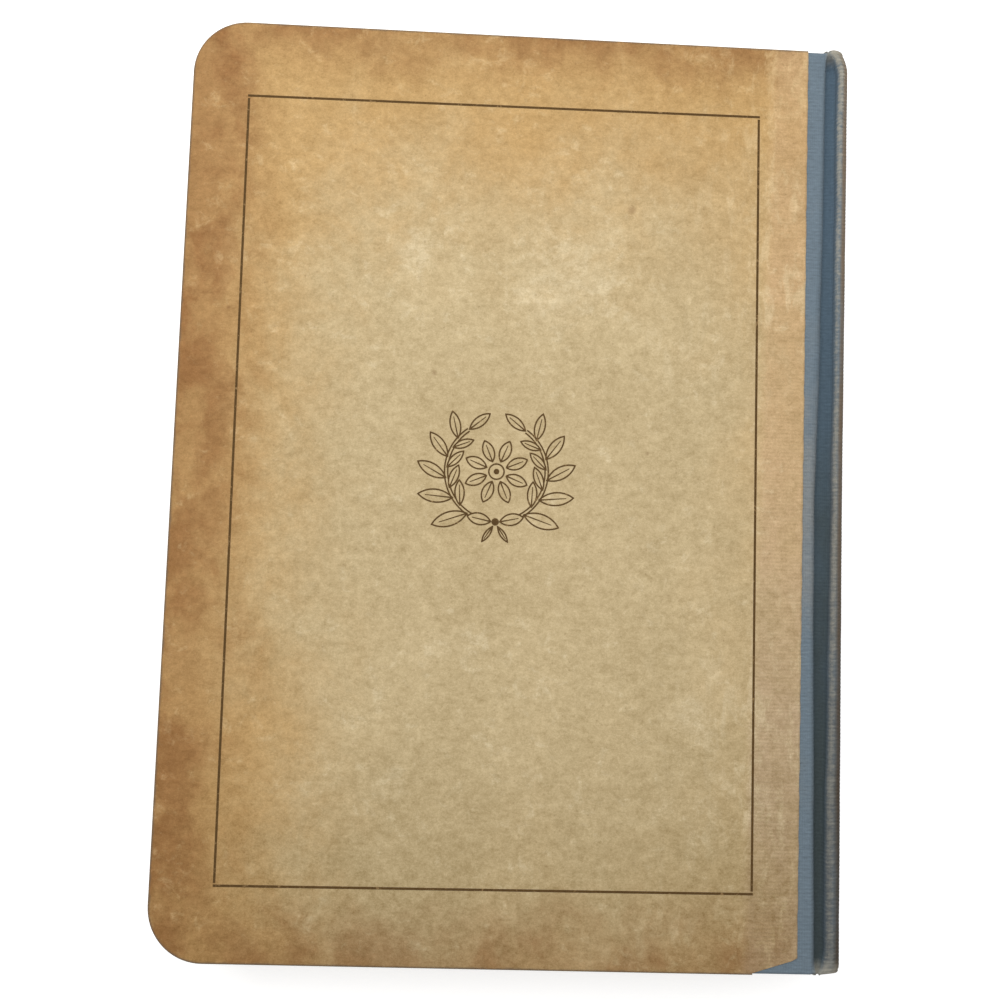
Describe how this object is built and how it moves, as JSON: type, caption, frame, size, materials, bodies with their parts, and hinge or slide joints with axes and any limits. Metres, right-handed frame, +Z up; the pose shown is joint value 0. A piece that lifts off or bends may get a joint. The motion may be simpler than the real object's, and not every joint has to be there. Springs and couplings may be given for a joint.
{
  "type": "hardback book",
  "caption": "closed hardback book lying on its front cover, with a ribbed cloth spine, paper-covered boards with rounded fore-edge corners, a thin printed frame and wreath on the upper cover, and covers that open",
  "frame": {"origin": "on the surface that the book lies on, under the middle of its closed width and height", "axes": "+Z is up, out of the back cover; +X points to the spine; +Y points to the head of the book"},
  "size_m": [0.1374, 0.19, 0.0248],
  "materials": {
    "pages": "toned page edges, matt",
    "endpaper": "plain toned endpaper, matt",
    "cover_paper": "tan covering paper, mottled and rubbed",
    "lining": "plain lining paper",
    "board": "grey-brown binder's board",
    "cloth": "finely ribbed grey-blue book cloth, worn pale on the ridge",
    "mull": "open starched gauze",
    "thread": "linen sewing thread",
    "ink": "black print, matt"
  },
  "bodies": {
    "pages_and_spine": {"text_block": "pages", "sewing_thread": "thread", "spine_mull": "mull", "spine_lining": "lining", "spine_card": "board", "spine_cloth": "cloth", "back_flyleaf": "endpaper", "front_flyleaf": "endpaper"},
    "back_cover": {"back_rule_frame": "ink", "back_ornament": "ink", "back_board": "board", "back_cover_cloth": "cloth", "back_cover_paper": "cover_paper", "back_mull_flange": "mull", "back_pastedown": "endpaper"},
    "front_cover": {"front_board": "board", "front_cover_cloth": "cloth", "front_cover_paper": "cover_paper", "front_mull_flange": "mull", "front_pastedown": "endpaper"}
  },
  "joints": [
    {"name": "back_cover_hinge", "type": "hinge", "parent": "pages_and_spine", "child": "back_cover", "pos_m": [0.0657, 0, 0.0235], "axis": [0, 1, 0], "range_deg": [0, 180]},
    {"name": "front_cover_hinge", "type": "hinge", "parent": "pages_and_spine", "child": "front_cover", "pos_m": [0.0657, 0, 0.0013], "axis": [0, -1, 0], "range_deg": [0, 180]}
  ]
}
